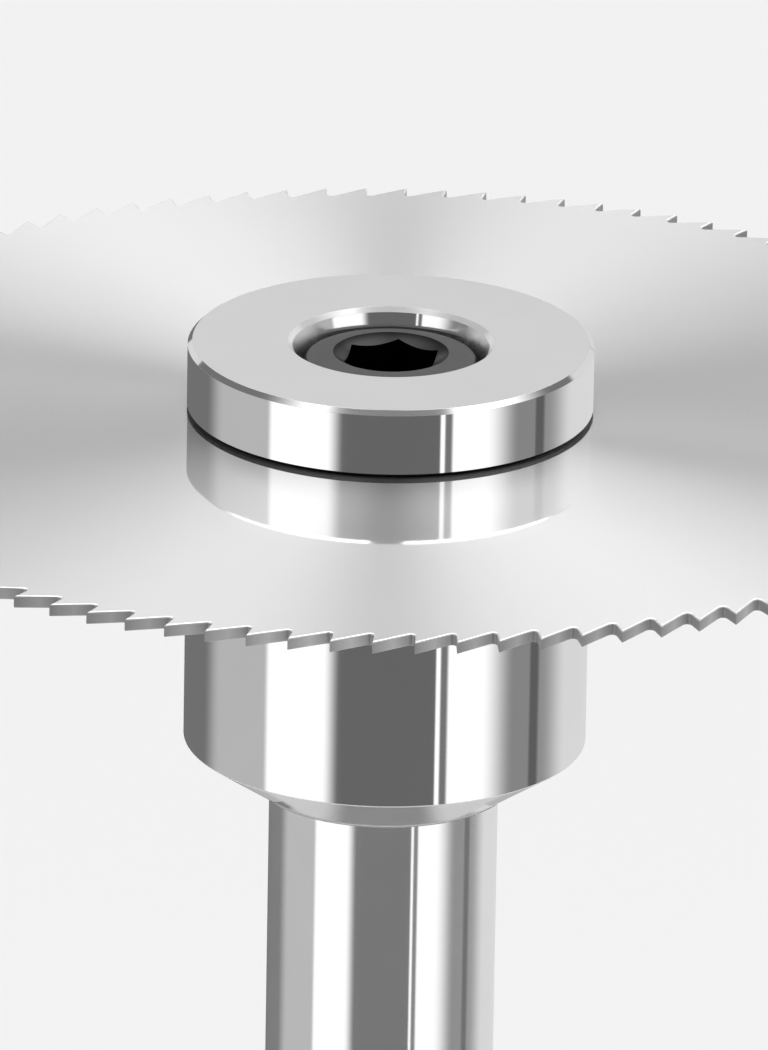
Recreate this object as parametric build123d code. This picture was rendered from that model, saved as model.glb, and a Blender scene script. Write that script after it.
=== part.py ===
# Slitting saw clamped on its flush-cap arbor: blade, arbor, clamp cap and cap screw.
#
# Millimetres, +Z up. The origin is the centre of the shank's flat end, on which the tool stands.
# All four pieces are turned round the Z axis and fit one inside the other:
# the cap's boss passes through the blade's bore into the arbor's recess, and one screw,
# sunk in the cap, draws the cap down so that the blade is pinched between two flat faces.

import math
import os

from build123d import *

INCH = 25.4

# Saw blade: a thin disc of high-speed steel, ground flat on both sides
TIP_RADIUS = 36.2
BLADE_THICKNESS = 0.68
BORE_DIAMETER = 5 / 8 * INCH

# Teeth: straight backs, slightly hooked cutting faces and small round gullets.
# Seen from the cap they cut clockwise, so each face looks the clockwise way.
TOOTH_COUNT = 100
TOOTH_PITCH = 360 / TOOTH_COUNT
FIRST_TIP_ANGLE = -1.184
TOOTH_DEPTH = 1.52
FACE_RAKE = 4.0
GULLET_RADIUS = 0.28

# Arbor: one turned bar, with a straight shank, a wide head and a cone between the two
SHANK_DIAMETER = 1 / 2 * INCH
SHANK_LENGTH = 1.5 * INCH
SHANK_END_CHAMFER = 0.8
HEAD_DIAMETER = 22.3
HEAD_LENGTH = 21.4
CONE_HEIGHT = 2.82
CONE_FOOT_RADIUS = 7.1
RECESS_DIAMETER = BORE_DIAMETER + 0.03
RECESS_DEPTH = 6.0
ARBOR_EDGE = 0.12

# Centre hole in the shank's end, on which the arbor was turned and ground
CENTRE_MOUTH_RADIUS = 1.6
CENTRE_PILOT_RADIUS = 0.6
CENTRE_CONE_DEPTH = (CENTRE_MOUTH_RADIUS - CENTRE_PILOT_RADIUS) / math.tan(math.radians(30))
CENTRE_DEPTH = CENTRE_CONE_DEPTH + 1.2

# Clamp cap: a flange on a boss, counterbored for the screw's head
CAP_DIAMETER = 22.4
CAP_ABOVE_BLADE = 3.9
CAP_CHAMFER = 0.26
BOSS_DIAMETER = BORE_DIAMETER - 0.03
BOSS_CHAMFER = 0.4
BOSS_END_GAP = 0.5
COUNTERBORE_DIAMETER = 10.6
SCREW_HOLE_DIAMETER = 6.6

# Cap screw: 1/4-20 UNC by 5/8 in, with a 3/16 in hexagon socket
THREAD_MAJOR = 1 / 4 * INCH
THREAD_PITCH = INCH / 20
THREAD_PITCH_DIAMETER = THREAD_MAJOR - 0.6495 * THREAD_PITCH
SCREW_LENGTH = 5 / 8 * INCH
SCREW_HEAD_DIAMETER = 9.42
SCREW_HEAD_HEIGHT = 1 / 4 * INCH
SCREW_HEAD_EDGE = 0.2
SCREW_SUNK = 0.6
SCREW_END_CHAMFER = 0.6
SOCKET_FLATS = 3 / 16 * INCH
SOCKET_DEPTH = 3.2
SOCKET_MOUTH_RADIUS = 3.19
SOCKET_MOUTH_ANGLE = 120.0
SOCKET_CORNER_ANGLE = 81.5
DRILL_POINT_ANGLE = 118.0

# Tapped hole below the recess, deeper than the screw reaches
TAPPED_DEPTH = 15.0
TAPPED_MOUTH_RADIUS = 3.3

# Heights of the faces where the pieces meet
ARBOR_TOP = SHANK_LENGTH + HEAD_LENGTH
BLADE_TOP = ARBOR_TOP + BLADE_THICKNESS
CAP_TOP = BLADE_TOP + CAP_ABOVE_BLADE
RECESS_FLOOR = ARBOR_TOP - RECESS_DEPTH
BOSS_END = RECESS_FLOOR + BOSS_END_GAP
SCREW_TOP = CAP_TOP - SCREW_SUNK
SCREW_SEAT = SCREW_TOP - SCREW_HEAD_HEIGHT


def polar(radius, degrees):
    """Point in the XY plane at a radius and an angle from +X."""
    angle = math.radians(degrees)
    return Vector(radius * math.cos(angle), radius * math.sin(angle), 0)


def turned(points):
    """Solid turned round the Z axis from a closed outline of (radius, height) points."""
    outline = Polyline([(radius, 0, height) for radius, height in points], close=True)
    return revolve(make_face(outline), Axis.Z)


def drill_point(radius):
    """Height of the cone that a drill of this radius leaves at the end of its hole."""
    return radius / math.tan(math.radians(DRILL_POINT_ANGLE / 2))


def gullet_vertex(tip_angle):
    """Sharp corner where a tooth's cutting face would meet the back of the tooth before it."""
    tip = polar(TIP_RADIUS, tip_angle)
    along_face = polar(1, tip_angle + 180 - FACE_RAKE)
    return tip + along_face * (TOOTH_DEPTH / math.cos(math.radians(FACE_RAKE)))


def tooth_rim():
    """Face with the blade's toothed outline, its gullets rounded."""
    corners = []
    for tooth in range(TOOTH_COUNT):
        tip_angle = FIRST_TIP_ANGLE + tooth * TOOTH_PITCH
        corners.append(gullet_vertex(tip_angle))
        corners.append(polar(TIP_RADIUS, tip_angle))
    outline = make_face(Polyline(corners, close=True))
    middle_radius = TIP_RADIUS - TOOTH_DEPTH / 2
    gullets = outline.vertices().filter_by(lambda v: math.hypot(v.X, v.Y) < middle_radius)
    return fillet(gullets, GULLET_RADIUS)


def saw_blade():
    """Toothed disc with a plain bore, lying on the arbor's head."""
    disc = Pos(0, 0, ARBOR_TOP) * extrude(tooth_rim(), BLADE_THICKNESS)
    bore = Pos(0, 0, ARBOR_TOP) * Cylinder(BORE_DIAMETER / 2, 4 * BLADE_THICKNESS)
    return disc - bore


def arbor_blank():
    """Outside of the arbor, from the chamfered shank end up to the face that carries the blade."""
    shank = SHANK_DIAMETER / 2
    head = HEAD_DIAMETER / 2
    cone_top = SHANK_LENGTH + CONE_HEIGHT
    blank = turned([
        (0, 0),
        (shank - SHANK_END_CHAMFER, 0),
        (shank, SHANK_END_CHAMFER),
        (shank, SHANK_LENGTH),
        (CONE_FOOT_RADIUS, SHANK_LENGTH),
        (head, cone_top),
        (head, ARBOR_TOP),
        (0, ARBOR_TOP),
    ])
    sharp = blank.edges().filter_by(GeomType.CIRCLE).filter_by(
        lambda edge: edge.radius > CONE_FOOT_RADIUS - 0.01)
    return chamfer(sharp, ARBOR_EDGE)


def register_recess():
    """Recess for the cap's boss, with the tapped hole and its drill point below it."""
    recess = RECESS_DIAMETER / 2
    tapped = THREAD_PITCH_DIAMETER / 2
    tapped_end = RECESS_FLOOR - TAPPED_DEPTH
    return turned([
        (0, tapped_end - drill_point(tapped)),
        (tapped, tapped_end),
        (tapped, RECESS_FLOOR - (TAPPED_MOUTH_RADIUS - tapped)),
        (TAPPED_MOUTH_RADIUS, RECESS_FLOOR),
        (recess, RECESS_FLOOR),
        (recess, ARBOR_TOP - BOSS_CHAMFER),
        (recess + BOSS_CHAMFER, ARBOR_TOP),
        (recess + BOSS_CHAMFER, ARBOR_TOP + 1),
        (0, ARBOR_TOP + 1),
    ])


def centre_hole():
    """Countersunk pilot hole in the end of the shank."""
    return turned([
        (0, -1),
        (CENTRE_MOUTH_RADIUS, -1),
        (CENTRE_MOUTH_RADIUS, 0),
        (CENTRE_PILOT_RADIUS, CENTRE_CONE_DEPTH),
        (CENTRE_PILOT_RADIUS, CENTRE_DEPTH),
        (0, CENTRE_DEPTH + drill_point(CENTRE_PILOT_RADIUS)),
    ])


def arbor():
    """The whole arbor: shank, cone and head, recessed and tapped from above."""
    return arbor_blank() - register_recess() - centre_hole()


def clamp_cap():
    """Flange and boss turned in one, with a counterbore that hides the screw's head."""
    flange = CAP_DIAMETER / 2
    boss = BOSS_DIAMETER / 2
    counterbore = COUNTERBORE_DIAMETER / 2
    hole = SCREW_HOLE_DIAMETER / 2
    return turned([
        (hole, BOSS_END),
        (boss - BOSS_CHAMFER, BOSS_END),
        (boss, BOSS_END + BOSS_CHAMFER),
        (boss, BLADE_TOP),
        (flange - CAP_CHAMFER, BLADE_TOP),
        (flange, BLADE_TOP + CAP_CHAMFER),
        (flange, CAP_TOP - CAP_CHAMFER),
        (flange - CAP_CHAMFER, CAP_TOP),
        (counterbore + CAP_CHAMFER, CAP_TOP),
        (counterbore, CAP_TOP - CAP_CHAMFER),
        (counterbore, SCREW_SEAT),
        (hole, SCREW_SEAT),
    ])


def screw_blank():
    """Head and threaded body, the thread as a plain bar at its pitch diameter."""
    head = SCREW_HEAD_DIAMETER / 2
    thread = THREAD_PITCH_DIAMETER / 2
    end = SCREW_SEAT - SCREW_LENGTH
    return turned([
        (0, end),
        (thread - SCREW_END_CHAMFER, end),
        (thread, end + SCREW_END_CHAMFER),
        (thread, SCREW_SEAT),
        (head, SCREW_SEAT),
        (head, SCREW_TOP - SCREW_HEAD_EDGE),
        (head - SCREW_HEAD_EDGE, SCREW_TOP),
        (0, SCREW_TOP),
    ])


def hexagon_socket():
    """Broached hexagon with a drilled point below it and a countersunk mouth above it."""
    floor = SCREW_TOP - SOCKET_DEPTH
    corner_radius = SOCKET_FLATS / math.sqrt(3)
    hexagon = Rot(0, 0, SOCKET_CORNER_ANGLE) * RegularPolygon(corner_radius, 6)
    broached = Pos(0, 0, floor) * extrude(hexagon, SOCKET_DEPTH + 1)
    drilled = turned([
        (0, floor - drill_point(SOCKET_FLATS / 2)),
        (SOCKET_FLATS / 2, floor),
        (0, floor),
    ])
    mouth_depth = SOCKET_MOUTH_RADIUS / math.tan(math.radians(SOCKET_MOUTH_ANGLE / 2))
    mouth = turned([
        (0, SCREW_TOP - mouth_depth),
        (SOCKET_MOUTH_RADIUS, SCREW_TOP),
        (0, SCREW_TOP),
    ])
    return broached + drilled + mouth


def cap_screw():
    """Socket head cap screw, sunk in the cap and screwed into the arbor."""
    return screw_blank() - hexagon_socket()


PIECES = {
    "saw_blade": saw_blade,
    "arbor": arbor,
    "clamp_cap": clamp_cap,
    "cap_screw": cap_screw,
}

os.makedirs("parts", exist_ok=True)
for name, build in PIECES.items():
    export_step(build(), f"parts/{name}.step")
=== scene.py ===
# %% [markdown]
# # A slitting saw clamped on its arbor
# The real tool has four pieces: a thin toothed blade, a turned arbor, a flush clamp cap and a black cap
# screw. The CAD model fixes where each piece is and how large it is. Here each one is modelled again
# with the finish, the fine edges and the thread that the plain solids leave out, and is set in the
# light of a small photo studio.

# %% Load the CAD model
import math

import bmesh
import bpy
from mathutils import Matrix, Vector


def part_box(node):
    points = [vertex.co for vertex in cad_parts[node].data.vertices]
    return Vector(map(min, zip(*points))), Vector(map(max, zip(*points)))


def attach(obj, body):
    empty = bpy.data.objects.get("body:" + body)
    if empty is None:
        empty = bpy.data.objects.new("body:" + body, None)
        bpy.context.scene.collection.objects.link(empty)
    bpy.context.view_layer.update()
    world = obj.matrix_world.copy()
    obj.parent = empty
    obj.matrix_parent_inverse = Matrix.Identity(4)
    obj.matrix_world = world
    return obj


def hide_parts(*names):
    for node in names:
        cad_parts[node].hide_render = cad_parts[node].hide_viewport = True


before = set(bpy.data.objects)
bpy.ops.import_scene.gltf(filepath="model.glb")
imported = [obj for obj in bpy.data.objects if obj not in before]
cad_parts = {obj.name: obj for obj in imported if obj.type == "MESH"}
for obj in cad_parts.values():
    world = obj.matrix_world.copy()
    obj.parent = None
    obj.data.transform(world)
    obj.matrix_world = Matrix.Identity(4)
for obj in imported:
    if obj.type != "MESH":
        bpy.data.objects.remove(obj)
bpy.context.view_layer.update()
print("CAD nodes:", sorted(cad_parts))

# %% [markdown]
# ## Sizes
# Blender works in metres, and the tool is a few centimetres large, so lengths are written as
# millimetres times `MM`. The heights come from the CAD nodes, so that a piece always lands where its
# solid is.

# %% Heights taken from the CAD model
MM = 0.001

blade_bottom, blade_top = (corner.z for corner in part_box("saw_blade"))
arbor_bottom, arbor_top = (corner.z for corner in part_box("arbor"))
cap_bottom, cap_top = (corner.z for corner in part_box("clamp_cap"))
screw_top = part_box("cap_screw")[1].z
print("blade's top face at", round(blade_top / MM, 3), "mm, cap's top face at", round(cap_top / MM, 3), "mm")

# %% [markdown]
# ## Camera
# The photograph is taken with a long lens from a metre away, about 20 degrees above the blade, so the
# disc is a flat ellipse and the tool's upright edges stay parallel. The camera is aimed by three
# directions: the way it looks, its right and its up. A small roll tips the picture as much as the
# photographed disc leans.

# %% Long-lens camera above the blade
CAMERA_HEIGHT_ANGLE = math.radians(20.574)
CAMERA_ROLL = math.radians(-0.97)
CAMERA_DISTANCE = 1093 * MM
CAMERA_LENS = 680
SENSOR_WIDTH = 36
OFFSET_RIGHT = 0.33 * MM
OFFSET_UP = 6.41 * MM
AIM_BELOW_BLADE_TOP = 0.04 * MM
CLIP_NEAR = 10 * MM
CLIP_FAR = 100

looking = Vector((0, math.cos(CAMERA_HEIGHT_ANGLE), -math.sin(CAMERA_HEIGHT_ANGLE)))
level_right = Vector((1, 0, 0))
level_up = level_right.cross(looking)
right = math.cos(CAMERA_ROLL) * level_right - math.sin(CAMERA_ROLL) * level_up
up = math.sin(CAMERA_ROLL) * level_right + math.cos(CAMERA_ROLL) * level_up
aim = Vector((0, 0, blade_top - AIM_BELOW_BLADE_TOP))
place = aim - CAMERA_DISTANCE * looking - OFFSET_RIGHT * right - OFFSET_UP * up

bpy.ops.object.camera_add(location=place)
camera = bpy.context.object
camera.name = "camera"
camera.rotation_mode = "QUATERNION"
turn = camera.matrix_world.to_3x3()
turn.col[0], turn.col[1], turn.col[2] = right, up, -looking
camera.rotation_quaternion = turn.to_quaternion()
camera.data.lens = CAMERA_LENS
camera.data.sensor_width = SENSOR_WIDTH
camera.data.clip_start = CLIP_NEAR
camera.data.clip_end = CLIP_FAR
bpy.context.scene.camera = camera
bpy.context.scene.view_settings.view_transform = "Standard"
print("camera at", [round(c, 4) for c in place])

# %% [markdown]
# ## Node helpers
# Light and finishes are both built from shader nodes. Small helpers keep those node trees readable: one
# makes a calculation, one makes an edge that is blurred over a width, and one lays a value over
# another.

# %% Helpers for shader nodes
def feed(tree, slot, value):
    """Set a node's input to a number, or link it to another node's output."""
    if isinstance(value, bpy.types.NodeSocket):
        tree.links.new(value, slot)
    else:
        slot.default_value = value


def calc(tree, operation, *values):
    """Add a Math node and return its result."""
    node = tree.nodes.new("ShaderNodeMath")
    node.operation = operation
    for slot, value in zip(node.inputs, values):
        feed(tree, slot, value)
    return node.outputs[0]


def past(tree, value, edge, blur):
    """0 before an edge and 1 past it, with a soft change as wide as the blur."""
    ramp = tree.nodes.new("ShaderNodeMapRange")
    ramp.interpolation_type = "SMOOTHSTEP"
    feed(tree, ramp.inputs["Value"], value)
    feed(tree, ramp.inputs["From Min"], edge - blur / 2)
    feed(tree, ramp.inputs["From Max"], edge + blur / 2)
    return ramp.outputs["Result"]


def between(tree, value, start, end, start_blur, end_blur):
    """1 between two edges and 0 outside them."""
    left_out = calc(tree, "SUBTRACT", 1, past(tree, value, end, end_blur))
    return calc(tree, "MULTIPLY", past(tree, value, start, start_blur), left_out)


def cover(tree, below, above, share):
    """Lay one value over another, as far as the share between 0 and 1 says."""
    mix = tree.nodes.new("ShaderNodeMix")
    mix.data_type = "FLOAT"
    feed(tree, mix.inputs[0], share)
    feed(tree, mix.inputs[2], below)
    feed(tree, mix.inputs[3], above)
    return mix.outputs[0]


# %% [markdown]
# ## Studio
# Polished steel has no look of its own: it shows the room. Product photographers therefore build the
# room with care, from white cards, black flags and softboxes. Lamps could stand for them, but here the
# whole studio is painted on the world's dome, by the direction in which each card is seen from the
# tool. Azimuth 0 is towards the camera, and it grows towards the right.

# %% Directions on the dome
world = bpy.data.worlds.new("studio")
world.use_nodes = True
bpy.context.scene.world = world
sky = world.node_tree
sky.nodes.clear()

coordinates = sky.nodes.new("ShaderNodeTexCoord")
split = sky.nodes.new("ShaderNodeSeparateXYZ")
sky.links.new(coordinates.outputs["Generated"], split.inputs[0])
toward_x, toward_y, toward_z = split.outputs
from_front = calc(sky, "ARCTAN2", toward_x, calc(sky, "MULTIPLY", toward_y, -1))
azimuth = calc(sky, "DEGREES", from_front)
azimuth_size = calc(sky, "ABSOLUTE", azimuth)
elevation = calc(sky, "DEGREES", calc(sky, "ARCSINE", toward_z))

# %% [markdown]
# The upright walls of the arbor and the cap show what stands round the tool, low down. Going round from
# behind the left side, each card begins at an azimuth and ends where the next one begins. Their edges
# and greys, and the other lights of the studio, were fitted until the steel looked as in the
# photograph. A narrow slit of light beside the black flag gives the thin bright line that runs down the
# front of the real arbor.

# %% Cards and flags round the tool
REAR_LEFT_GREY = 0.165
CARDS = [
    # first azimuth, blur of that edge, brightness
    (-118.5, 19.0, 0.47),
    (-71.8, 4.5, 1.1),
    (-31.2, 11.0, 0.150),
    (-25.5, 6.0, 0.133),
    (29.0, 1.2, 1.1),
    (31.6, 1.3, 0.175),
    (36.0, 2.3, 1.1),
    (66.8, 25.0, 0.24),
    (91.3, 2.1, 0.11),
    (98.6, 3.4, 0.28),
    (113.5, 26.5, 0.70),
]

# %% [markdown]
# The hole in the cap is a hollow mirror, and a hollow mirror shows the room the other way round. It
# looks just above the horizon. So the cards hang there in swapped order, and the hole shows them in the
# same order as the wall outside. Two more pale cards stand low behind the tool, and light the ends of
# the cap's upper chamfer. Straight behind it, lower still, stands a grey wall that the sides of the
# cone mirror.

# %% Swapped cards for the hole
HOLE_SEES = (0, 17.4)
REAR_CARDS = (136, 160)
REAR_CARD_LIGHT = 0.7
REAR_CARD_BLUR = 8
REAR_WALL = 0.45
REAR_WALL_FROM = 168
REAR_WALL_SIDE_BLUR = 6
REAR_WALL_TOP = -25
REAR_WALL_TOP_BLUR = 3
STRAIGHT_DOWN = -90
HARD_EDGE = 0.01

for_hole = between(sky, elevation, *HOLE_SEES, HARD_EDGE, HARD_EDGE)
swapping = calc(sky, "SUBTRACT", 1, calc(sky, "MULTIPLY", 2, for_hole))
card_azimuth = calc(sky, "MULTIPLY", azimuth, swapping)
cards = REAR_LEFT_GREY
for first_azimuth, blur, brightness in CARDS:
    cards = cover(sky, cards, brightness, past(sky, card_azimuth, first_azimuth, blur))
rear_cards = between(sky, azimuth_size, *REAR_CARDS, REAR_CARD_BLUR, REAR_CARD_BLUR)
rear_cards = calc(sky, "MULTIPLY", for_hole, rear_cards)
cards = cover(sky, cards, REAR_CARD_LIGHT, rear_cards)
rear_wall = between(sky, elevation, STRAIGHT_DOWN, REAR_WALL_TOP, HARD_EDGE, REAR_WALL_TOP_BLUR)
rear_wall = calc(sky, "MULTIPLY", rear_wall, past(sky, azimuth_size, REAR_WALL_FROM, REAR_WALL_SIDE_BLUR))
cards = cover(sky, cards, REAR_WALL, rear_wall)

# %% [markdown]
# Above the cards the room is dark, so that the blade's circular grind shows two clear fans of light
# from two long strip lights overhead. They are laid out on a flat ceiling one metre up: each is given
# by its first and last edge, in metres, and the blur of the two. Straight behind the tool, at the
# height where the flat faces mirror it, a pale band of wall makes them a light, even grey. A darker
# card hangs before the strips, for the front of the cap's upper chamfer.

# %% Ceiling strips, pale band and dark ceiling
CEILING = 0.17
PALE_BAND = 0.66
PALE_BAND_EDGES = (18.7, 23.0)
PALE_BAND_BLUR = 1.5
CARDS_END = 171
CARDS_END_BLUR = 6
STRIP_LIGHT = 2.8
LEFT_STRIP = (-0.515, -0.057, 0.90, 0.03)
RIGHT_STRIP = (0.051, 0.833, 0.03, 0.90)
LEFT_STRIP_LENGTH = (-0.272, 1.37, 0.11, 0.44)
RIGHT_STRIP_LENGTH = (-0.25, 1.37, 0.11, 0.44)
FRONT_CARD_LIGHT = 0.24
FRONT_CARD = (-0.33, 0.42, 0.05, 0.05)
FRONT_CARD_LENGTH = (-0.47, -0.2, 0.05, 0.1)
LEAST_HEIGHT = 0.001

height = calc(sky, "MAXIMUM", toward_z, LEAST_HEIGHT)
ceiling_x = calc(sky, "DIVIDE", toward_x, height)
ceiling_y = calc(sky, "DIVIDE", toward_y, height)
band = between(sky, elevation, *PALE_BAND_EDGES, PALE_BAND_BLUR, PALE_BAND_BLUR)
behind = past(sky, azimuth_size, CARDS_END, CARDS_END_BLUR)
band = calc(sky, "MULTIPLY", band, behind)
dome = cover(sky, CEILING, PALE_BAND, band)
front_card = calc(
    sky, "MULTIPLY", between(sky, ceiling_x, *FRONT_CARD), between(sky, ceiling_y, *FRONT_CARD_LENGTH))
dome = cover(sky, dome, FRONT_CARD_LIGHT, front_card)
for across, along in ((LEFT_STRIP, LEFT_STRIP_LENGTH), (RIGHT_STRIP, RIGHT_STRIP_LENGTH)):
    lit = calc(sky, "MULTIPLY", between(sky, ceiling_x, *across), between(sky, ceiling_y, *along))
    dome = cover(sky, dome, STRIP_LIGHT, lit)

# %% [markdown]
# The cards end 24 degrees above the horizon, straight behind the tool a little below it. They stand
# round a grey table with a darker front and white paper in its middle. The camera itself sees none of
# this: to camera rays the room is the photograph's pale background.

# %% Cards on the table, and the pale background
CARDS_TOP = 24.4
CARDS_TOP_BLUR = 2
REAR_TOP = -3
CARDS_BOTTOM = -34
CARDS_BOTTOM_BLUR = 4
TABLE = 0.6
TABLE_DARK = 0.22
TABLE_DARK_AZIMUTH = 62
TABLE_DARK_BLUR = 40
PAPER = 0.95
PAPER_TOP = -62
PAPER_BLUR = 6
BACKGROUND = 0.896

card_top = cover(sky, CARDS_TOP, REAR_TOP, behind)
above_cards = past(sky, calc(sky, "SUBTRACT", elevation, card_top), 0, CARDS_TOP_BLUR)
table = cover(sky, TABLE_DARK, TABLE, past(sky, azimuth_size, TABLE_DARK_AZIMUTH, TABLE_DARK_BLUR))
table = cover(sky, PAPER, table, past(sky, elevation, PAPER_TOP, PAPER_BLUR))
low_room = cover(sky, table, cards, past(sky, elevation, CARDS_BOTTOM, CARDS_BOTTOM_BLUR))
room = cover(sky, low_room, dome, above_cards)

path = sky.nodes.new("ShaderNodeLightPath")
seen = cover(sky, room, BACKGROUND, path.outputs["Is Camera Ray"])
background = sky.nodes.new("ShaderNodeBackground")
background.inputs["Color"].default_value = (1, 1, 1, 1)
feed(sky, background.inputs["Strength"], seen)
sky.links.new(background.outputs[0], sky.nodes.new("ShaderNodeOutputWorld").inputs["Surface"])
print("studio nodes:", len(sky.nodes))

# %% [markdown]
# ## Floor
# The floor is pale paper. Part of what the camera sees of it is its plain colour, so that the
# background stays even, and the rest is lit, so that the tool's soft shadow stays. Reflections look
# past it to the cards.

# %% Pale floor
FLOOR_SIZE = 60
FLOOR_PLAIN_SHARE = 0.6

bpy.ops.object.select_all(action="DESELECT")
bpy.ops.mesh.primitive_plane_add(size=FLOOR_SIZE, location=(0, 0, arbor_bottom))
floor = bpy.context.object
floor.name = "floor"
floor.visible_glossy = False
floor.visible_shadow = False

paper = bpy.data.materials.new("floor_paper")
paper.use_nodes = True
tree = paper.node_tree
tree.nodes.clear()
lit_paper = tree.nodes.new("ShaderNodeBsdfDiffuse")
plain_paper = tree.nodes.new("ShaderNodeEmission")
for look in (lit_paper, plain_paper):
    look.inputs["Color"].default_value = (BACKGROUND, BACKGROUND, BACKGROUND, 1)
path = tree.nodes.new("ShaderNodeLightPath")
share = calc(tree, "MULTIPLY", path.outputs["Is Camera Ray"], FLOOR_PLAIN_SHARE)
mix = tree.nodes.new("ShaderNodeMixShader")
tree.links.new(share, mix.inputs[0])
tree.links.new(lit_paper.outputs[0], mix.inputs[1])
tree.links.new(plain_paper.outputs[0], mix.inputs[2])
tree.links.new(mix.outputs[0], tree.nodes.new("ShaderNodeOutputMaterial").inputs["Surface"])
floor.data.materials.append(paper)

# %% [markdown]
# ## Finishes
# A metal in Blender is a Principled shader with Metallic at 1. Every round face of the tool was
# finished while it turned, so its fine marks run in circles. A noise that reads only the distance from
# the axis plus the height draws such circles on walls, flats and cones alike. It changes the roughness
# and raises a very slight bump. Some surfaces look paler or softer in the photograph than a bare metal
# would: the shank, the teeth, the arbor's broken edges and the slope round the mouth of the cap's hole.
# Their Metallic is set lower.

# %% Marks that run in circles
NOISE_RANGE = (0.3, 0.7)
CLOUD_WIDTH = 6 * MM
GREY_SWING = 0.015
ROUGHNESS_SWING = 0.2


def place_on_piece(tree):
    """Object coordinates: the vector itself, and the distance from the Z axis plus the height."""
    place = tree.nodes.new("ShaderNodeTexCoord").outputs["Object"]
    parts = tree.nodes.new("ShaderNodeSeparateXYZ")
    tree.links.new(place, parts.inputs[0])
    x, y, z = parts.outputs
    squares = calc(tree, "ADD", calc(tree, "MULTIPLY", x, x), calc(tree, "MULTIPLY", y, y))
    return place, calc(tree, "ADD", calc(tree, "SQRT", squares), z)


def circles(tree, width):
    """Noise between 0 and 1 whose marks run round the Z axis, each about as wide as said."""
    noise = tree.nodes.new("ShaderNodeTexNoise")
    noise.noise_dimensions = "1D"
    feed(tree, noise.inputs["W"], place_on_piece(tree)[1])
    noise.inputs["Scale"].default_value = 1 / width
    noise.inputs["Detail"].default_value = 4
    return noise.outputs["Fac"]


def clouds(tree, width):
    """Noise between 0 and 1 in soft spots, each about as wide as said."""
    noise = tree.nodes.new("ShaderNodeTexNoise")
    feed(tree, noise.inputs["Vector"], place_on_piece(tree)[0])
    noise.inputs["Scale"].default_value = 1 / width
    noise.inputs["Detail"].default_value = 3
    return noise.outputs["Fac"]


def spread(tree, noise, low, high):
    """Stretch a noise between two values."""
    ramp = tree.nodes.new("ShaderNodeMapRange")
    feed(tree, ramp.inputs["Value"], noise)
    for name, value in zip(("From Min", "From Max", "To Min", "To Max"), (*NOISE_RANGE, low, high)):
        ramp.inputs[name].default_value = value
    return ramp.outputs["Result"]


def swing(tree, noise, value, share):
    """Let a noise swing a value up and down by a share of it."""
    return spread(tree, noise, (1 - share) * value, (1 + share) * value)


def grey(tree, shader, value):
    """Give a shader a grey of varying brightness."""
    colour = tree.nodes.new("ShaderNodeCombineColor")
    for slot in colour.inputs[:3]:
        tree.links.new(value, slot)
    tree.links.new(colour.outputs[0], shader.inputs["Base Color"])


def raise_bump(tree, shader, noise, depth):
    """Let a noise raise a shader's surface by a depth."""
    bump = tree.nodes.new("ShaderNodeBump")
    bump.inputs["Distance"].default_value = depth
    feed(tree, bump.inputs["Height"], noise)
    tree.links.new(bump.outputs[0], shader.inputs["Normal"])


def metal(name, colour, roughness, metallic=1.0, marks=0.12 * MM, depth=0.0004 * MM):
    """New metal with circular marks of a width and depth, and faint clouds in its grey."""
    material = bpy.data.materials.new(name)
    material.use_nodes = True
    tree = material.node_tree
    shader = tree.nodes["Principled BSDF"]
    shader.inputs["Metallic"].default_value = metallic
    grey(tree, shader, swing(tree, clouds(tree, CLOUD_WIDTH), colour, GREY_SWING))
    lines = circles(tree, marks)
    feed(tree, shader.inputs["Roughness"], swing(tree, lines, roughness, ROUGHNESS_SWING))
    raise_bump(tree, shader, lines, depth)
    return material


# %% [markdown]
# The arbor and the cap are turned and then polished. The shank is ground instead, so that it runs true
# in its collet, and keeps a slight veil. Chamfers and broken edges are left as the tool cut them, a
# little rougher. The cap's lower chamfer, at the narrow gap over the blade, is painted near-black as painted
# shade.
# The cap's hole is bright at the back and duller elsewhere. The slope round its mouth and the arbor's broken
# edges scatter more light than bare steel would, because the photograph shows them pale all round.

# %% Finishes of the arbor and the cap
BORE_POLISH = 0.06
BORE_WORN = (0.26, 0.34)
BORE_WEAR_WIDTH = 1.5 * MM
BORE_POLISHED_FROM = 3.6 * MM
BORE_POLISHED_BLUR = 1.4 * MM

polished_steel = metal("polished_steel", colour=0.955, roughness=0.04)
shank_steel = metal("shank_steel", colour=0.955, roughness=0.06, metallic=0.9, marks=0.08 * MM)
chamfer_steel = metal("chamfer_steel", colour=0.95, roughness=0.08)
mouth_steel = metal("mouth_steel", colour=0.95, roughness=0.15, metallic=0.25)
broken_edge = metal("broken_edge", colour=0.98, roughness=0.4, metallic=0.35)
# Painted shade: the cap's lower chamfer is near-black, standing in for the shade in the gap over the blade.
gap_painted_shade = metal("gap_painted_shade", colour=0.03, roughness=0.35, marks=0.3 * MM)
bore_steel = metal("bore_steel", colour=0.92, roughness=BORE_POLISH)
tree = bore_steel.node_tree
parts = tree.nodes.new("ShaderNodeSeparateXYZ")
tree.links.new(place_on_piece(tree)[0], parts.inputs[0])
polished = past(tree, parts.outputs["Y"], BORE_POLISHED_FROM, BORE_POLISHED_BLUR)
worn = spread(tree, clouds(tree, BORE_WEAR_WIDTH), *BORE_WORN)
feed(tree, tree.nodes["Principled BSDF"].inputs["Roughness"], cover(tree, worn, BORE_POLISH, polished))
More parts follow.
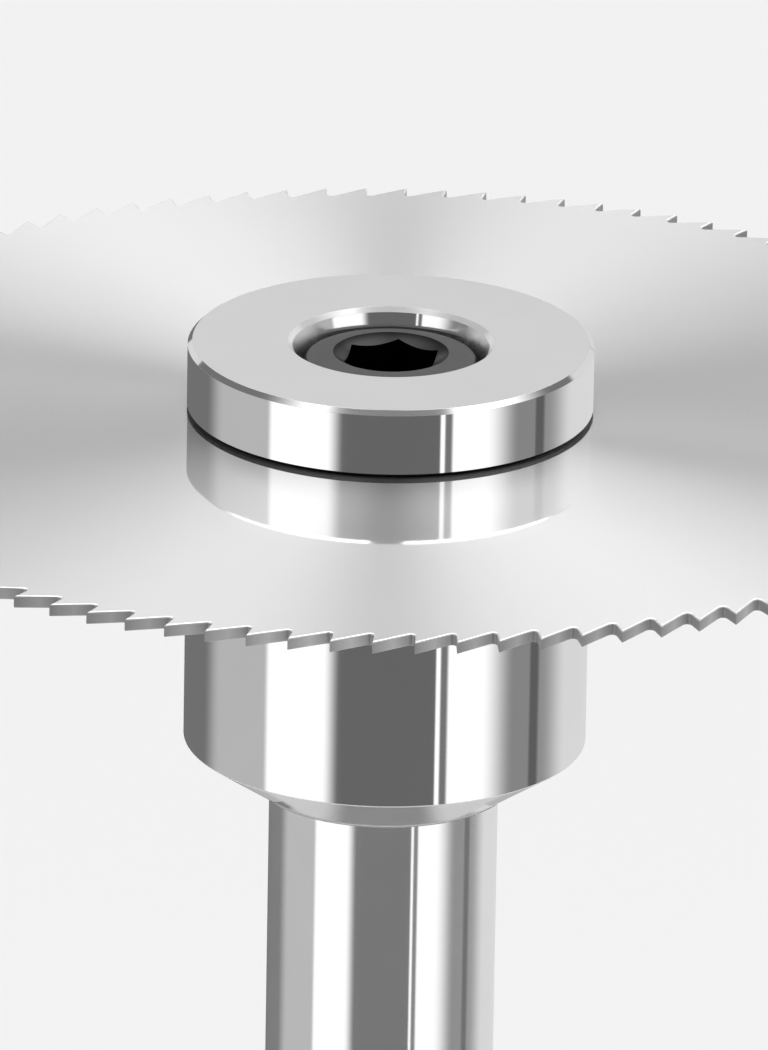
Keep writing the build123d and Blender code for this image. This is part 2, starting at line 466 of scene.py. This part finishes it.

# %% [markdown]
# The blade was ground flat while it turned. Its grind is made of countless fine circular scratches,
# which draw reflections out across themselves, and of the smooth steel between them, which still
# mirrors the cap. So the finish is two shaders mixed: a sharp mirror, and an anisotropic metal whose
# tangent runs round the Z axis. Inside a circle round the cap, shifted towards the camera, the
# scratches' grey is darkened: painted shade.

# %% Circular grind of the blade
MIRROR_GREY = 0.94
MIRROR_SHARE = 0.565
SCRATCH_GREY = 0.79
SCRATCH_ROUGHNESS = 0.42
SCRATCH_WIDTH = 0.15 * MM
SCRATCH_GREY_SWING = 0.01
SCRATCH_ROUGHNESS_SWING = 0.05
QUARTER_TURN = 0.25
# Painted shade: inside a circle round the cap, shifted towards the camera, the scratches' grey is darkened.
PAINTED_SHADE_RADIUS = 11.2 * MM
PAINTED_SHADE_SHIFT = 0.69 * MM
PAINTED_SHADE_BLUR = 0.05 * MM
PAINTED_SHADE_SHARE = 0.3

blade_grind = metal("blade_grind", colour=MIRROR_GREY, roughness=0.04, marks=0.2 * MM, depth=0)
tree = blade_grind.node_tree
scratched = tree.nodes.new("ShaderNodeBsdfPrincipled")
scratched.inputs["Metallic"].default_value = 1
scratched.inputs["Anisotropic"].default_value = 1
scratched.inputs["Anisotropic Rotation"].default_value = QUARTER_TURN
grind = circles(tree, SCRATCH_WIDTH)
from_shade_centre = tree.nodes.new("ShaderNodeVectorMath")
from_shade_centre.operation = "DISTANCE"
feed(tree, from_shade_centre.inputs[0], place_on_piece(tree)[0])
from_shade_centre.inputs[1].default_value = (0, -PAINTED_SHADE_SHIFT, blade_top)
outside_painted_shade = past(tree, from_shade_centre.outputs["Value"], PAINTED_SHADE_RADIUS, PAINTED_SHADE_BLUR)
scratches = swing(tree, grind, SCRATCH_GREY, SCRATCH_GREY_SWING)
grey(tree, scratched, calc(tree, "MULTIPLY", scratches, cover(tree, PAINTED_SHADE_SHARE, 1, outside_painted_shade)))
scratch_roughness = swing(tree, grind, SCRATCH_ROUGHNESS, SCRATCH_ROUGHNESS_SWING)
feed(tree, scratched.inputs["Roughness"], scratch_roughness)
tangent = tree.nodes.new("ShaderNodeTangent")
tangent.direction_type = "RADIAL"
tangent.axis = "Z"
tree.links.new(tangent.outputs[0], scratched.inputs["Tangent"])
mix = tree.nodes.new("ShaderNodeMixShader")
mix.inputs[0].default_value = MIRROR_SHARE
tree.links.new(scratched.outputs[0], mix.inputs[1])
tree.links.new(tree.nodes["Principled BSDF"].outputs[0], mix.inputs[2])
tree.links.new(mix.outputs[0], tree.nodes["Material Output"].inputs["Surface"])

# %% [markdown]
# The teeth were cut and ground across, so their marks are upright lines, and their steel is duller than
# the sides. Each back is painted lightest half-way between the tip and the gullet and darker towards both
# ends: painted shade. The broken edges are bright.

# %% Finishes of the teeth
TEETH = 100
TOOTH_PITCH = 2 * math.pi / TEETH
FIRST_TIP = math.radians(-1.184)
# Painted shade: each tooth's back is darker towards its tip and its gullet.
TOOTH_END_PAINTED_SHADE = 0.36
TOOTH_MIDDLE_GREY = 0.6
TOOTH_MARKS_PER_RADIAN = 500
TOOTH_MARKS_SWING = 0.08

tooth_edge = metal("tooth_edge", colour=0.98, roughness=0.45)
tooth_steel = metal("tooth_steel", colour=0.5, roughness=0.4, metallic=0.3)
tree = tooth_steel.node_tree
parts = tree.nodes.new("ShaderNodeSeparateXYZ")
tree.links.new(place_on_piece(tree)[0], parts.inputs[0])
angle = calc(tree, "ARCTAN2", parts.outputs["Y"], parts.outputs["X"])
along_rim = calc(tree, "DIVIDE", calc(tree, "SUBTRACT", angle, FIRST_TIP), TOOTH_PITCH)
half_pitch = 0.5
from_ends = calc(tree, "DIVIDE", calc(tree, "PINGPONG", along_rim, half_pitch), half_pitch)
marks = tree.nodes.new("ShaderNodeTexNoise")
marks.noise_dimensions = "1D"
feed(tree, marks.inputs["W"], calc(tree, "MULTIPLY", angle, TOOTH_MARKS_PER_RADIAN))
back = cover(tree, TOOTH_END_PAINTED_SHADE, TOOTH_MIDDLE_GREY, from_ends)
marked = swing(tree, marks.outputs["Fac"], 1, TOOTH_MARKS_SWING)
grey(tree, tree.nodes["Principled BSDF"], calc(tree, "MULTIPLY", back, marked))

# %% [markdown]
# The screw is blackened in a hot salt bath, which leaves a thin black oxide. It is no bare metal any
# more: it reflects weakly and without colour, and it is never quite even. Down in the socket hardly any
# light returns, and its faces are painted near-black as painted shade. The slope round its mouth is painted
# darker than the head and reflects least at the rim: painted shade too.

# %% Black oxide
SPOT_WIDTH = 0.8 * MM
SPOT_GREY_SWING = 0.1
SPOT_ROUGHNESS_SWING = 0.08
MOUTH_GLOSS = 0.32
MOUTH_RIM_PAINTED_SHADE_GLOSS = 0.05
MOUTH_RIM = 2.75 * MM
MOUTH_RIM_BLUR = 0.9 * MM


def oxide(name, colour, roughness, gloss):
    """New black oxide, cloudy in its grey and its roughness."""
    material = metal(name, colour, roughness, metallic=0.0)
    tree = material.node_tree
    shader = tree.nodes["Principled BSDF"]
    shader.inputs["Specular IOR Level"].default_value = gloss
    spots = clouds(tree, SPOT_WIDTH)
    grey(tree, shader, swing(tree, spots, colour, SPOT_GREY_SWING))
    feed(tree, shader.inputs["Roughness"], swing(tree, spots, roughness, SPOT_ROUGHNESS_SWING))
    return material


black_oxide = oxide("black_oxide", colour=0.088, roughness=0.5, gloss=0.25)
# Painted shade: the socket's faces are near-black.
socket_painted_shade = oxide("socket_painted_shade", colour=0.001, roughness=0.6, gloss=0.02)
# Painted shade: the mouth's slope is darker than the head and reflects least at its rim.
mouth_painted_shade = oxide("mouth_painted_shade", colour=0.012, roughness=0.3, gloss=MOUTH_GLOSS)
tree = mouth_painted_shade.node_tree
at_rim = past(tree, place_on_piece(tree)[1], screw_top + MOUTH_RIM, MOUTH_RIM_BLUR)
mouth_gloss = cover(tree, MOUTH_GLOSS, MOUTH_RIM_PAINTED_SHADE_GLOSS, at_rim)
feed(tree, tree.nodes["Principled BSDF"].inputs["Specular IOR Level"], mouth_gloss)
print("finishes:", len(bpy.data.materials) - 1)

# %% [markdown]
# ## Modelling helpers
# Every piece here is round. The turned ones start as a cylinder at their place and the blade as a
# circle, and both are shaped in edit mode. Faces and edges are picked in code by where they lie, and
# tools then act on what is picked.

# %% Helpers for picking
ROUND = 192
HAIR = 0.1 * MM
TINY = 0.001 * MM


def only(piece):
    """Deselect everything else; tools then act on this piece."""
    bpy.ops.object.select_all(action="DESELECT")
    piece.select_set(True)
    bpy.context.view_layer.objects.active = piece


def edit():
    """Go into edit mode."""
    bpy.ops.object.mode_set(mode="EDIT")


def done():
    """Go back to object mode."""
    bpy.ops.object.mode_set(mode="OBJECT")


def pick_all():
    """In edit mode, select everything."""
    bpy.ops.mesh.select_all(action="SELECT")


def pick_faces(test):
    """In edit mode, select just the faces that pass a test."""
    bpy.ops.mesh.select_all(action="DESELECT")
    mesh = bmesh.from_edit_mesh(bpy.context.object.data)
    for face in mesh.faces:
        if test(face):
            face.select_set(True)
    bmesh.update_edit_mesh(bpy.context.object.data)


def facing(x, y, z):
    """Test for faces that look along a direction."""
    return lambda face: face.normal.dot(Vector((x, y, z))) > 0.999


def middle(face):
    """A face's distance from the Z axis and its height."""
    centre = face.calc_center_median()
    return centre.xy.length, centre.z


def is_wall(face):
    """Test for faces that stand upright or nearly so."""
    return abs(face.normal.z) < 0.5


def slopes_up(face):
    """Test for chamfers and cones that look upwards."""
    return 0.5 < face.normal.z < 0.9


def slopes_down(face):
    """Test for chamfers and cones that look downwards."""
    return -0.9 < face.normal.z < -0.5


# %% [markdown]
# Turning is what a lathe does: it walks along a profile. Here the picked end face of a cylinder is
# extruded and scaled from station to station, so that each step leaves one ring of faces behind.

# %% Helpers for round shapes
def cylinder(radius, low, high, vertices=ROUND):
    """Upright cylinder between two heights, left in edit mode with its top face picked."""
    bpy.ops.object.select_all(action="DESELECT")
    centre = (0, 0, (high + low) / 2)
    bpy.ops.mesh.primitive_cylinder_add(
        vertices=vertices, radius=radius, depth=high - low, location=centre, end_fill_type="NGON")
    bpy.ops.object.transform_apply()
    edit()
    pick_faces(facing(0, 0, 1))
    return bpy.context.object


def scale_round(factor, height):
    """Scale what is picked towards the Z axis."""
    bpy.ops.transform.resize(value=(factor, factor, 1), center_override=(0, 0, height))


def turn_picked(angle, height):
    """Turn what is picked counter-clockwise about the Z axis, seen from above."""
    bpy.ops.transform.rotate(value=-angle, orient_axis="Z", center_override=(0, 0, height))


def lift(distance):
    """Say to an extrude operator that the new part goes up by a distance."""
    return {"value": (0, 0, distance)}


def turn_profile(radius, height, stations):
    """Extrude the picked round end face through stations, each a radius and a height."""
    for next_radius, next_height in stations:
        bpy.ops.mesh.extrude_region_move(TRANSFORM_OT_translate=lift(next_height - height))
        if next_radius:
            scale_round(next_radius / radius, next_height)
        else:
            bpy.ops.mesh.merge(type="CENTER")
        radius, height = next_radius, next_height


# %% [markdown]
# A piece carries all its finishes from the start. Its faces begin with the first one, and the others go
# to faces that are picked. No real edge is perfectly sharp, so a fine bevel rounds them all and catches
# a line of light.

# %% Helpers for finishing a piece
BEVEL_FROM = math.radians(25)
BEVEL_SEGMENTS = 2


def give(piece, *finishes):
    """Give a piece its finishes; all its faces start with the first."""
    for material in finishes:
        piece.data.materials.append(material)


def slot_of(piece, material):
    """Number that one of a piece's finishes has on it."""
    return piece.data.materials.find(material.name)


def finish_faces(material, test):
    """In edit mode, give one of the piece's finishes to the faces that pass a test."""
    pick_faces(test)
    piece = bpy.context.object
    piece.active_material_index = slot_of(piece, material)
    bpy.ops.object.material_slot_assign()


def apply_modifiers(piece):
    """Apply all modifiers, in order."""
    only(piece)
    for modifier in list(piece.modifiers):
        bpy.ops.object.modifier_apply(modifier=modifier.name)


def shade_round(piece, smooth_below=18):
    """Shade smooth where faces meet at less than an angle in degrees."""
    only(piece)
    bpy.ops.object.shade_smooth_by_angle(angle=math.radians(smooth_below))


def soften_edges(piece, width, edge_finish=None):
    """Round every sharp edge a little, keep flat faces flat and shade round walls smooth."""
    bevel = piece.modifiers.new("soft edges", "BEVEL")
    bevel.width = width
    bevel.segments = BEVEL_SEGMENTS
    bevel.limit_method = "ANGLE"
    bevel.angle_limit = BEVEL_FROM
    bevel.harden_normals = True
    if edge_finish:
        bevel.material = slot_of(piece, edge_finish)
    shade_round(piece, smooth_below=40)
    apply_modifiers(piece)


def settle(piece, name, node):
    """Name a finished piece, put its place into its mesh and let it stand for its CAD node."""
    only(piece)
    bpy.ops.object.transform_apply(location=True, rotation=True, scale=True)
    piece.name = name
    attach(piece, "root")
    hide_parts(node)
    print(name, "faces:", len(piece.data.polygons))


# %% [markdown]
# ## Arbor
# The real arbor is turned from one bar, and so is this one: a cylinder for the shank, whose upper end
# is extruded and widened into the ledge, the cone and the head, then turned inwards for the recess that
# takes the cap's boss and for the tapped hole below it. The lower end gets its chamfer and the centre
# hole in which the bar ran on the lathe.

# %% Arbor
SHANK_RADIUS = 6.35 * MM
SHANK_TOP = 38.1 * MM
SHANK_CHAMFER = 0.8 * MM
CONE_FOOT_RADIUS = 7.1 * MM
CONE_LAND = 0.09 * MM
CONE_TOP = 40.92 * MM
HEAD_RADIUS = 11.15 * MM
RECESS_RADIUS = 7.9525 * MM
RECESS_MOUTH = 0.4 * MM
RECESS_DEPTH = 6 * MM
TAPPED_RADIUS = 2.76 * MM
TAPPED_MOUTH_RADIUS = 3.3 * MM
TAPPED_DEPTH = 15 * MM
DRILL_POINT = 1.66 * MM
CENTRE_MOUTH_RADIUS = 1.6 * MM
CENTRE_PILOT_RADIUS = 0.6 * MM
CENTRE_CONE_DEPTH = 1.73 * MM
CENTRE_DEPTH = 2.93 * MM
CENTRE_POINT = 0.36 * MM
ARBOR_EDGE = 0.08 * MM

recess_floor = arbor_top - RECESS_DEPTH
arbor = cylinder(SHANK_RADIUS, SHANK_CHAMFER, SHANK_TOP)
turn_profile(SHANK_RADIUS, SHANK_TOP, [
    (CONE_FOOT_RADIUS, SHANK_TOP),
    (CONE_FOOT_RADIUS, SHANK_TOP + CONE_LAND),
    (HEAD_RADIUS, CONE_TOP),
    (HEAD_RADIUS, arbor_top),
    (RECESS_RADIUS + RECESS_MOUTH, arbor_top),
    (RECESS_RADIUS, arbor_top - RECESS_MOUTH),
    (RECESS_RADIUS, recess_floor),
    (TAPPED_MOUTH_RADIUS, recess_floor),
    (TAPPED_RADIUS, recess_floor - (TAPPED_MOUTH_RADIUS - TAPPED_RADIUS)),
    (TAPPED_RADIUS, recess_floor - TAPPED_DEPTH),
    (0, recess_floor - TAPPED_DEPTH - DRILL_POINT),
])
pick_faces(lambda face: facing(0, 0, -1)(face) and middle(face)[1] < SHANK_CHAMFER + HAIR)
turn_profile(SHANK_RADIUS, SHANK_CHAMFER, [
    (SHANK_RADIUS - SHANK_CHAMFER, 0),
    (CENTRE_MOUTH_RADIUS, 0),
    (CENTRE_PILOT_RADIUS, CENTRE_CONE_DEPTH),
    (CENTRE_PILOT_RADIUS, CENTRE_DEPTH),
    (0, CENTRE_DEPTH + CENTRE_POINT),
])

# %% Arbor's finishes
def on_shank(face):
    """Test for the shank's wall, its end chamfer and its end face."""
    radius, height = middle(face)
    return height < SHANK_TOP - HAIR and radius > TAPPED_RADIUS + HAIR


def on_cone_land(face):
    """Test for the narrow wall at the foot of the cone."""
    radius, height = middle(face)
    return SHANK_TOP < height < SHANK_TOP + CONE_LAND and radius > SHANK_RADIUS


give(arbor, polished_steel, shank_steel, broken_edge)
finish_faces(shank_steel, on_shank)
finish_faces(broken_edge, on_cone_land)
done()
soften_edges(arbor, ARBOR_EDGE, edge_finish=broken_edge)
settle(arbor, "arbor_turned", "arbor")

# %% [markdown]
# ## Saw blade
# The blade is a disc with a hundred teeth. Its outline could be drawn point by point, but the teeth
# come more easily from a circle of two hundred corners: every other corner is pulled in to the bottom
# of its gullet and turned a little under the next tip, which gives the cutting faces their slight hook.
# Then the gullet corners are rounded.

# %% Saw blade's outline
TIP_RADIUS = 36.2 * MM
TOOTH_DEPTH = 1.52 * MM
FACE_RAKE = math.radians(4)
GULLET_RADIUS = 0.28 * MM
GULLET_SEGMENTS = 10

hook = math.atan2(TOOTH_DEPTH * math.tan(FACE_RAKE), TIP_RADIUS - TOOTH_DEPTH)
root_radius = (TIP_RADIUS - TOOTH_DEPTH) / math.cos(hook)

bpy.ops.object.select_all(action="DESELECT")
bpy.ops.mesh.primitive_circle_add(
    vertices=2 * TEETH, radius=TIP_RADIUS, location=(0, 0, blade_bottom), fill_type="NGON")
blade = bpy.context.object
bpy.ops.object.transform_apply()
edit()
corners = list(bmesh.from_edit_mesh(blade.data).verts)
turn_picked(FIRST_TIP - math.atan2(corners[0].co.y, corners[0].co.x), blade_bottom)
bpy.ops.mesh.select_all(action="DESELECT")
for corner in corners[1::2]:
    corner.select_set(True)
scale_round(root_radius / TIP_RADIUS, blade_bottom)
turn_picked(TOOTH_PITCH / 2 + hook, blade_bottom)

to_tip = corners[2].co - corners[1].co
to_last_tip = corners[0].co - corners[1].co
gullet_reach = GULLET_RADIUS / math.tan(to_tip.angle(to_last_tip) / 2)
bpy.ops.mesh.bevel(offset=gullet_reach, segments=GULLET_SEGMENTS, affect="VERTICES", clamp_overlap=False)
print("gullets rounded over", round(gullet_reach / MM, 3), "mm of each side")

# %% [markdown]
# The outline's face is given up for its edges alone. A plain circle goes in below the teeth, the gap
# between the two is filled, and the circle is carried in to the bore, so the ring is flat all over. It
# is then extruded to its thickness.

# %% Saw blade's body
LAND_RADIUS = 33.6 * MM
BORE_RADIUS = 7.9375 * MM

pick_all()
bpy.ops.mesh.delete(type="ONLY_FACE")
bpy.ops.mesh.primitive_circle_add(vertices=2 * TEETH, radius=LAND_RADIUS, location=(0, 0, blade_bottom))
land = [vertex.index for vertex in bmesh.from_edit_mesh(blade.data).verts if vertex.select]
pick_all()
bpy.ops.mesh.fill()
bpy.ops.mesh.select_all(action="DESELECT")
mesh = bmesh.from_edit_mesh(blade.data)
mesh.verts.ensure_lookup_table()
for index in land:
    mesh.verts[index].select_set(True)
mesh.select_flush(True)
bpy.ops.mesh.extrude_edges_move()
scale_round(BORE_RADIUS / LAND_RADIUS, blade_bottom)
pick_all()
bpy.ops.mesh.extrude_region_move(TRANSFORM_OT_translate=lift(blade_top - blade_bottom))
pick_all()
bpy.ops.mesh.normals_make_consistent(inside=False)

# %% [markdown]
# The edges of the teeth are broken with a fine bevel. Fresh from the grinding wheel, the upper ones
# catch light from everywhere, and run round the blade as a thin white line. The photograph's cap
# mirrors the cards and not the blade that it stands on, so the blade is hidden from glossy rays. That
# is a choice for the likeness: real polished steel would show the blade there.

# %% Saw blade's edges and finishes
TOP_EDGE = 0.08 * MM
BOTTOM_EDGE = 0.03 * MM


def pick_rim_edges(height):
    """In edit mode, select the toothed outline at one height."""
    bpy.ops.mesh.select_all(action="DESELECT")
    mesh = bmesh.from_edit_mesh(bpy.context.object.data)
    for edge in mesh.edges:
        level = all(abs(vertex.co.z - height) < TINY for vertex in edge.verts)
        if level and any(map(is_wall, edge.link_faces)) and edge.verts[0].co.xy.length > LAND_RADIUS:
            edge.select_set(True)
    bmesh.update_edit_mesh(bpy.context.object.data)


give(blade, blade_grind, tooth_steel, tooth_edge)
finish_faces(tooth_steel, lambda face: is_wall(face) and middle(face)[0] > LAND_RADIUS)
for height, width, segments, finish in (
        (blade_top, TOP_EDGE, 2, tooth_edge), (blade_bottom, BOTTOM_EDGE, 1, tooth_steel)):
    pick_rim_edges(height)
    bpy.ops.mesh.bevel(offset=width, segments=segments, affect="EDGES", material=slot_of(blade, finish))
done()
shade_round(blade)
blade.visible_glossy = False
settle(blade, "saw_blade_ground", "saw_blade")

# %% [markdown]
# ## Clamp cap
# The cap is a flange on a boss, turned in one. A cylinder makes the flange. Its top face is turned
# inwards into the counterbore and on down through the boss, and its bottom face into the boss's
# outside. Both walks end in the same ring, where the two end faces are taken out and the rings are
# merged. The counterbore widens slightly towards its mouth, as a hole does that is polished by hand, so
# its wall mirrors the cards.

# %% Clamp cap
CAP_RADIUS = 11.2 * MM
CAP_CHAMFER = 0.26 * MM
BOSS_RADIUS = 7.9225 * MM
BOSS_CHAMFER = 0.4 * MM
MOUTH_RADIUS = 5.68 * MM
MOUTH_CHAMFER = 0.25 * MM
COUNTERBORE_RADIUS = 5.1 * MM
FLARE_DEPTH = 1.3 * MM
FLARE_END = 0.02 * MM
FLARE_SLOPE = 0.315
CAP_EDGE = 0.004 * MM
SCREW_HOLE_RADIUS = 3.3 * MM
SCREW_SUNK = 0.6 * MM
SCREW_HEAD_HEIGHT = 6.35 * MM

screw_seat = cap_top - SCREW_SUNK - SCREW_HEAD_HEIGHT
wall_low = blade_top + CAP_CHAMFER
wall_high = cap_top - CAP_CHAMFER
cap = cylinder(CAP_RADIUS, wall_low, wall_high)
turn_profile(CAP_RADIUS, wall_high, [
    (CAP_RADIUS - CAP_CHAMFER, cap_top),
    (MOUTH_RADIUS, cap_top),
    (MOUTH_RADIUS - MOUTH_CHAMFER, cap_top - MOUTH_CHAMFER),
    (COUNTERBORE_RADIUS + FLARE_SLOPE * FLARE_END, cap_top - FLARE_DEPTH + FLARE_END),
    (COUNTERBORE_RADIUS, cap_top - FLARE_DEPTH - FLARE_END),
    (COUNTERBORE_RADIUS, screw_seat),
    (SCREW_HOLE_RADIUS, screw_seat),
    (SCREW_HOLE_RADIUS, cap_bottom),
])
bpy.ops.mesh.delete(type="ONLY_FACE")
pick_faces(lambda face: facing(0, 0, -1)(face) and middle(face)[1] > blade_top)
turn_profile(CAP_RADIUS, wall_low, [
    (CAP_RADIUS - CAP_CHAMFER, blade_top),
    (BOSS_RADIUS, blade_top),
    (BOSS_RADIUS, cap_bottom + BOSS_CHAMFER),
    (BOSS_RADIUS - BOSS_CHAMFER, cap_bottom),
    (SCREW_HOLE_RADIUS, cap_bottom),
])
bpy.ops.mesh.delete(type="ONLY_FACE")
pick_all()
bpy.ops.mesh.remove_doubles(threshold=TINY)

# %% Cap's finishes
give(cap, polished_steel, chamfer_steel, gap_painted_shade, bore_steel, mouth_steel)
finish_faces(chamfer_steel, lambda face: slopes_up(face) and middle(face)[1] > wall_high - HAIR)
# The lower chamfer takes the near-black painted shade.
finish_faces(gap_painted_shade, lambda face: slopes_down(face) and middle(face)[1] > blade_top)
finish_faces(bore_steel, lambda face: is_wall(face) and middle(face)[0] < MOUTH_RADIUS)
finish_faces(mouth_steel, lambda face: slopes_up(face) and middle(face)[0] < MOUTH_RADIUS)
done()
soften_edges(cap, CAP_EDGE)
settle(cap, "clamp_cap_turned", "clamp_cap")

# %% [markdown]
# ## Cap screw
# The screw's thread is a groove wound round the axis. A short line with the shape of one turn is wound
# up by the Screw modifier, which lifts it by one pitch in each turn. The root takes a quarter of the
# pitch, the crest an eighth, and the flanks the rest. The ends are then cut square by bisecting, and a
# boolean with a chamfered bar gives the screw its point.

# %% Helpers for the thread
THREAD_PITCH = 1.27 * MM
THREAD_DEPTH = 0.5413 * THREAD_PITCH
THREAD_STEPS = 48
ROOT_END = 1 / 4
CREST_START = 9 / 16
CREST_END = 11 / 16
SPARE_TURNS = 1.5


def draw_line(points):
    """New mesh with one open line: a plane merged into a point, which is extruded from place to place."""
    bpy.ops.object.select_all(action="DESELECT")
    bpy.ops.mesh.primitive_plane_add(size=MM, location=points[0])
    bpy.ops.object.transform_apply()
    edit()
    bpy.ops.mesh.merge(type="CENTER")
    for last, place in zip(points, points[1:]):
        bpy.ops.mesh.extrude_region_move(TRANSFORM_OT_translate={"value": Vector(place) - Vector(last)})
    done()
    return bpy.context.object


def wound_thread(major, low, high):
    """Solid thread of a major radius, square at both ends."""
    root = major - THREAD_DEPTH
    start = low - SPARE_TURNS * THREAD_PITCH
    groove = [(root, 0, start)]
    for share, radius in ((ROOT_END, root), (CREST_START, major), (CREST_END, major), (1, root)):
        groove.append((radius, 0, start + share * THREAD_PITCH))
    thread = draw_line(groove)
    winding = thread.modifiers.new("winding", "SCREW")
    winding.screw_offset = THREAD_PITCH
    winding.iterations = math.ceil((high - low) / THREAD_PITCH + 2 * SPARE_TURNS)
    winding.steps = winding.render_steps = THREAD_STEPS
    apply_modifiers(thread)
    edit()
    pick_all()
    bpy.ops.mesh.remove_doubles(threshold=TINY)
    for height, away in ((low, -1), (high, 1)):
        pick_all()
        bpy.ops.mesh.bisect(
            plane_co=(0, 0, height), plane_no=(0, 0, away), threshold=TINY / 10,
            use_fill=True, clear_outer=True)
    pick_all()
    bpy.ops.mesh.normals_make_consistent(inside=False)
    done()
    return thread


def combine(piece, operation, tool):
    """Boolean of a piece with a tool piece, which is used up."""
    boolean = piece.modifiers.new(operation.lower(), "BOOLEAN")
    boolean.operation = operation
    boolean.solver = "EXACT"
    boolean.object = tool
    apply_modifiers(piece)
    bpy.data.objects.remove(tool)


# %% Threaded body
SCREW_RADIUS = 3.175 * MM
THREAD_CLEARANCE = 0.03 * MM
SCREW_LENGTH = 15.875 * MM
SCREW_POINT = 0.6 * MM
THREAD_OVERRUN = 0.5 * MM
BAR_IN_HEAD = 0.4 * MM
THIN = 0.01 * MM

screw_end = screw_seat - SCREW_LENGTH
screw = wound_thread(SCREW_RADIUS - THREAD_CLEARANCE, screw_end - THREAD_OVERRUN, screw_seat + THREAD_OVERRUN)
bar = cylinder(SCREW_RADIUS - SCREW_POINT, screw_end, screw_end + THIN)
turn_profile(SCREW_RADIUS - SCREW_POINT, screw_end + THIN, [
    (SCREW_RADIUS, screw_end + SCREW_POINT),
    (SCREW_RADIUS, screw_seat + BAR_IN_HEAD),
])
done()
combine(screw, "INTERSECT", bar)
print("thread faces:", len(screw.data.polygons))

# %% [markdown]
# The head is a knurled cylinder. The knurl gives fingers a grip before the key goes in: every fourth
# column of its corners is pushed in over the middle of the height, which leaves a row of upright
# grooves that run out above and below. Its top is slightly crowned towards the socket.

# %% Screw's head
SCREW_HEAD_RADIUS = 4.71 * MM
SCREW_HEAD_EDGE = 0.08 * MM
SCREW_CROWN = 0.32 * MM
SCREW_CROWN_RADIUS = 3.5 * MM
HEAD_FOOT = 0.5 * MM
KNURL_COLUMNS = 4
KNURL_DEPTH = 0.13 * MM
KNURL_LOW = 1.3 * MM
KNURL_HIGH = 0.9 * MM

knurl_low = screw_seat + KNURL_LOW
knurl_high = screw_top - KNURL_HIGH
head = cylinder(SCREW_HEAD_RADIUS, screw_seat, screw_seat + HEAD_FOOT)
turn_profile(SCREW_HEAD_RADIUS, screw_seat + HEAD_FOOT, [
    (SCREW_HEAD_RADIUS, knurl_low),
    (SCREW_HEAD_RADIUS, knurl_high),
    (SCREW_HEAD_RADIUS, screw_top - SCREW_CROWN - SCREW_HEAD_EDGE),
    (SCREW_HEAD_RADIUS - SCREW_HEAD_EDGE, screw_top - SCREW_CROWN),
    (SCREW_CROWN_RADIUS, screw_top),
])
bpy.ops.mesh.select_all(action="DESELECT")
for vertex in bmesh.from_edit_mesh(head.data).verts:
    column = round(math.atan2(vertex.co.y, vertex.co.x) / (2 * math.pi) * ROUND)
    if knurl_low - THIN < vertex.co.z < knurl_high + THIN and column % KNURL_COLUMNS == 0:
        vertex.select_set(True)
scale_round(1 - KNURL_DEPTH / SCREW_HEAD_RADIUS, screw_top)
done()

# %% [markdown]
# The socket is cut by booleans: a countersunk mouth, the broached hexagon and the point that the drill
# left below it. Where the hexagon meets the mouth's slope it leaves the scalloped edge that every such
# screw has.

# %% Screw's socket
SOCKET_FLATS = 4.82 * MM
SOCKET_ANGLE = math.radians(81.5)
SOCKET_DEPTH = 3.2 * MM
SOCKET_MOUTH_RADIUS = 3.19 * MM
SOCKET_MOUTH_DEPTH = 1.842 * MM
SOCKET_POINT = 1.43 * MM
ABOVE = 1 * MM
NEEDLE = 0.02 * MM
DRILL_FACETS = 48

socket_floor = screw_top - SOCKET_DEPTH
mouth_floor = screw_top - SOCKET_MOUTH_DEPTH
mouth_slope = SOCKET_MOUTH_RADIUS / SOCKET_MOUTH_DEPTH
mouth = cylinder(NEEDLE, mouth_floor, mouth_floor + THIN)
turn_profile(NEEDLE, mouth_floor + THIN, [
    (mouth_slope * (SOCKET_MOUTH_DEPTH + ABOVE), screw_top + ABOVE),
])
done()
combine(head, "DIFFERENCE", mouth)

hexagon = cylinder(SOCKET_FLATS / math.sqrt(3), socket_floor, screw_top + ABOVE, vertices=6)
pick_all()
turn_picked(SOCKET_ANGLE - math.pi / 2, screw_top)
done()
combine(head, "DIFFERENCE", hexagon)

drill_tip = socket_floor - SOCKET_POINT
drill = cylinder(NEEDLE, drill_tip, drill_tip + THIN, vertices=DRILL_FACETS)
turn_profile(NEEDLE, drill_tip + THIN, [
    (SOCKET_FLATS / 2, socket_floor),
    (SOCKET_FLATS / 2, socket_floor + HAIR),
])
done()
combine(head, "DIFFERENCE", drill)
combine(screw, "UNION", head)


def in_socket(face):
    """Test for the hexagon's walls and floor and the drill point."""
    radius, height = middle(face)
    deep = height < socket_floor + THIN or abs(face.normal.z) < 0.1
    return radius < SOCKET_MOUTH_RADIUS and screw_seat + HEAD_FOOT < height and deep


only(screw)
give(screw, black_oxide, socket_painted_shade, mouth_painted_shade)
edit()
# The socket and the mouth's slope take their painted shade.
finish_faces(socket_painted_shade, in_socket)
finish_faces(mouth_painted_shade, lambda face: slopes_up(face) and middle(face)[1] > mouth_floor)
done()
shade_round(screw)
settle(screw, "cap_screw_blackened", "cap_screw")
